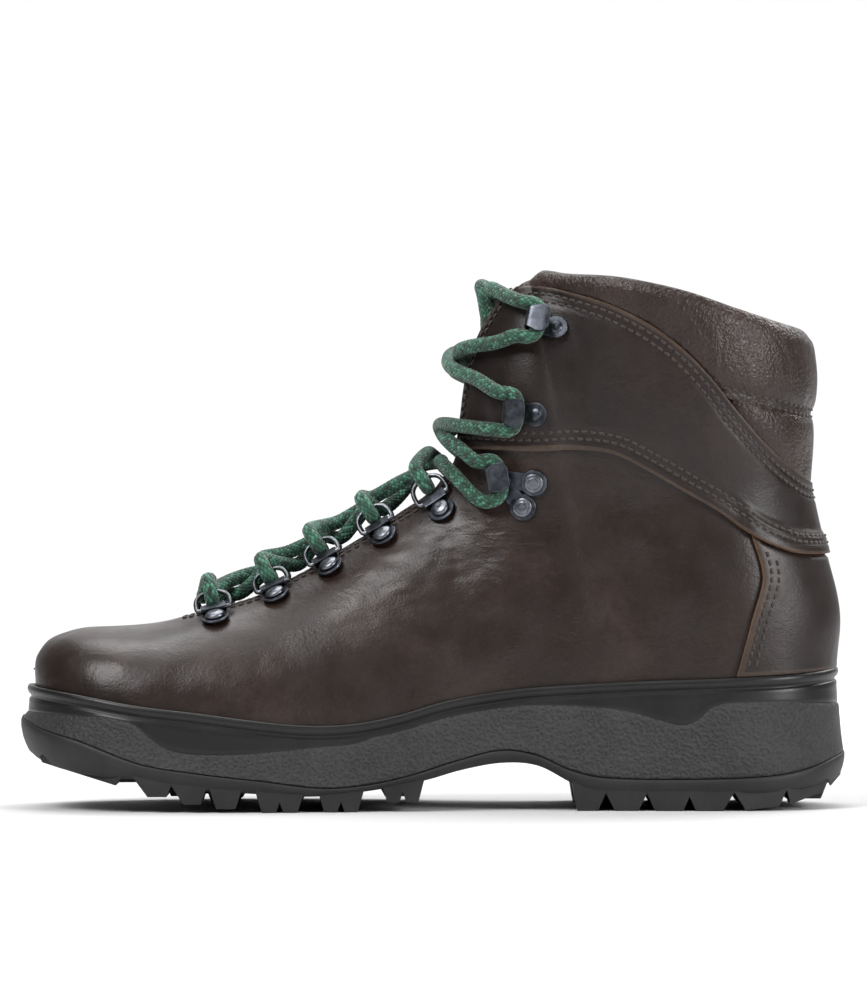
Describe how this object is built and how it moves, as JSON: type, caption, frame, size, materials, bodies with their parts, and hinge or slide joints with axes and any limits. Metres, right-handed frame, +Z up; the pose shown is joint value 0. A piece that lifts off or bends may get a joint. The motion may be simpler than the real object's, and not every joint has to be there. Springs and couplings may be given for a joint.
{
  "type": "mountaineering boot",
  "caption": "Leather mountaineering boot with D-ring and hook lacing, an overlaid ankle panel, a padded collar and a lugged rubber sole.",
  "frame": {"origin": "centre of the bounding box on the ground plane under the lugs", "axes": "+X from toe to heel, +Y to the outer side of the foot, +Z up; right boot"},
  "size_m": [0.3058, 0.1131, 0.2006],
  "materials": {
    "leather": "oiled full-grain, semi-gloss",
    "panel_leather": "oiled full-grain, semi-gloss",
    "collar_leather": "soft grained, matte",
    "lining": "brushed, matte",
    "stiffener": "matte",
    "rubber": "matte",
    "midsole": "pebbled, matte",
    "board": "matte",
    "footbed": "felted, matte",
    "shank_steel": "satin",
    "gunmetal": "blackened, satin",
    "pewter": "blackened, satin",
    "lace": "braided, matte"
  },
  "bodies": {
    "boot": {"outsole": "rubber", "midsole": "midsole", "shank": "shank_steel", "insole_board": "board", "upper_leather": "leather", "ankle_panel": "panel_leather", "heel_panel": "panel_leather", "collar_pad": "collar_leather", "collar_pad_lower": "collar_leather", "lining": "lining", "toe_puff": "stiffener", "heel_counter": "stiffener", "gusset_left": "lining", "gusset_right": "lining", "lace": "lace", "aglet_inner": "gunmetal", "aglet_outer": "gunmetal", "d_clip_inner_1": "gunmetal", "d_rivet_inner_1": "pewter", "d_clip_inner_2": "gunmetal", "d_rivet_inner_2": "pewter", "d_clip_inner_3": "gunmetal", "d_rivet_inner_3": "pewter", "d_clip_inner_4": "gunmetal", "d_rivet_inner_4": "pewter", "d_clip_inner_5": "gunmetal", "d_rivet_inner_5": "pewter", "speed_hook_inner_1": "gunmetal", "ankle_rivet_inner_1": "pewter", "speed_hook_inner_2": "gunmetal", "ankle_rivet_inner_2": "pewter", "ankle_hook_inner": "gunmetal", "d_clip_outer_1": "gunmetal", "d_rivet_outer_1": "pewter", "d_clip_outer_2": "gunmetal", "d_rivet_outer_2": "pewter", "d_clip_outer_3": "gunmetal", "d_rivet_outer_3": "pewter", "d_clip_outer_4": "gunmetal", "d_rivet_outer_4": "pewter", "d_clip_outer_5": "gunmetal", "d_rivet_outer_5": "pewter", "speed_hook_outer_1": "gunmetal", "ankle_rivet_outer_1": "pewter", "speed_hook_outer_2": "gunmetal", "ankle_rivet_outer_2": "pewter", "ankle_hook_outer": "gunmetal"},
    "tongue": {"tongue": "leather"},
    "footbed": {"footbed": "footbed"},
    "ring_inner_1": {"d_ring_inner_1": "gunmetal"},
    "ring_inner_2": {"d_ring_inner_2": "gunmetal"},
    "ring_inner_3": {"d_ring_inner_3": "gunmetal"},
    "ring_inner_4": {"d_ring_inner_4": "gunmetal"},
    "ring_inner_5": {"d_ring_inner_5": "gunmetal"},
    "ring_outer_1": {"d_ring_outer_1": "gunmetal"},
    "ring_outer_2": {"d_ring_outer_2": "gunmetal"},
    "ring_outer_3": {"d_ring_outer_3": "gunmetal"},
    "ring_outer_4": {"d_ring_outer_4": "gunmetal"},
    "ring_outer_5": {"d_ring_outer_5": "gunmetal"}
  },
  "joints": [
    {"name": "tongue_hinge", "type": "hinge", "parent": "boot", "child": "tongue", "pos_m": [-0.0975, -0.0033, 0.0595], "axis": [0, 1, 0], "range_deg": [0, 5], "stiffness_Nm_per_rad": 5, "deforming": ["gusset_left", "gusset_right"]},
    {"name": "footbed_lift", "type": "slide", "parent": "boot", "child": "footbed", "axis": [0, 0, 1], "range_m": [0, 0.004]},
    {"name": "d_ring_inner_1_swing", "type": "hinge", "parent": "boot", "child": "ring_inner_1", "pos_m": [-0.08104, -0.02159, 0.07383], "axis": [0.9782, 0.018, 0.207], "range_deg": [-6, 6], "deforming": ["lace"]},
    {"name": "d_ring_inner_2_swing", "type": "hinge", "parent": "boot", "child": "ring_inner_2", "pos_m": [-0.05951, -0.0163, 0.08197], "axis": [0.9101, -0.0115, 0.4141], "range_deg": [-6, 6], "deforming": ["lace"]},
    {"name": "d_ring_inner_3_swing", "type": "hinge", "parent": "boot", "child": "ring_inner_3", "pos_m": [-0.04027, -0.01532, 0.0926], "axis": [0.8601, 0.0026, 0.5101], "range_deg": [-6, 6], "deforming": ["lace"]},
    {"name": "d_ring_inner_4_swing", "type": "hinge", "parent": "boot", "child": "ring_inner_4", "pos_m": [-0.02065, -0.01537, 0.10439], "axis": [0.8505, -0.0074, 0.5259], "range_deg": [-6, 6], "deforming": ["lace"]},
    {"name": "d_ring_inner_5_swing", "type": "hinge", "parent": "boot", "child": "ring_inner_5", "pos_m": [0.00014, -0.01875, 0.11474], "axis": [0.8337, -0.0414, 0.5507], "range_deg": [-6, 6], "deforming": ["lace"]},
    {"name": "d_ring_outer_1_swing", "type": "hinge", "parent": "boot", "child": "ring_outer_1", "pos_m": [-0.08118, 0.01905, 0.0738], "axis": [-0.9643, -0.0021, -0.2649], "range_deg": [-6, 6], "deforming": ["lace"]},
    {"name": "d_ring_outer_2_swing", "type": "hinge", "parent": "boot", "child": "ring_outer_2", "pos_m": [-0.05958, 0.01747, 0.08194], "axis": [-0.8955, -0.0229, -0.4444], "range_deg": [-6, 6], "deforming": ["lace"]},
    {"name": "d_ring_outer_3_swing", "type": "hinge", "parent": "boot", "child": "ring_outer_3", "pos_m": [-0.04024, 0.01732, 0.09262], "axis": [-0.8658, 0.0078, -0.5004], "range_deg": [-6, 6], "deforming": ["lace"]},
    {"name": "d_ring_outer_4_swing", "type": "hinge", "parent": "boot", "child": "ring_outer_4", "pos_m": [-0.02061, 0.01656, 0.10441], "axis": [-0.8592, 0.0023, -0.5116], "range_deg": [-6, 6], "deforming": ["lace"]},
    {"name": "d_ring_outer_5_swing", "type": "hinge", "parent": "boot", "child": "ring_outer_5", "pos_m": [0.00018, 0.01911, 0.11475], "axis": [-0.8417, -0.0284, -0.5393], "range_deg": [-6, 6], "deforming": ["lace"]}
  ]
}
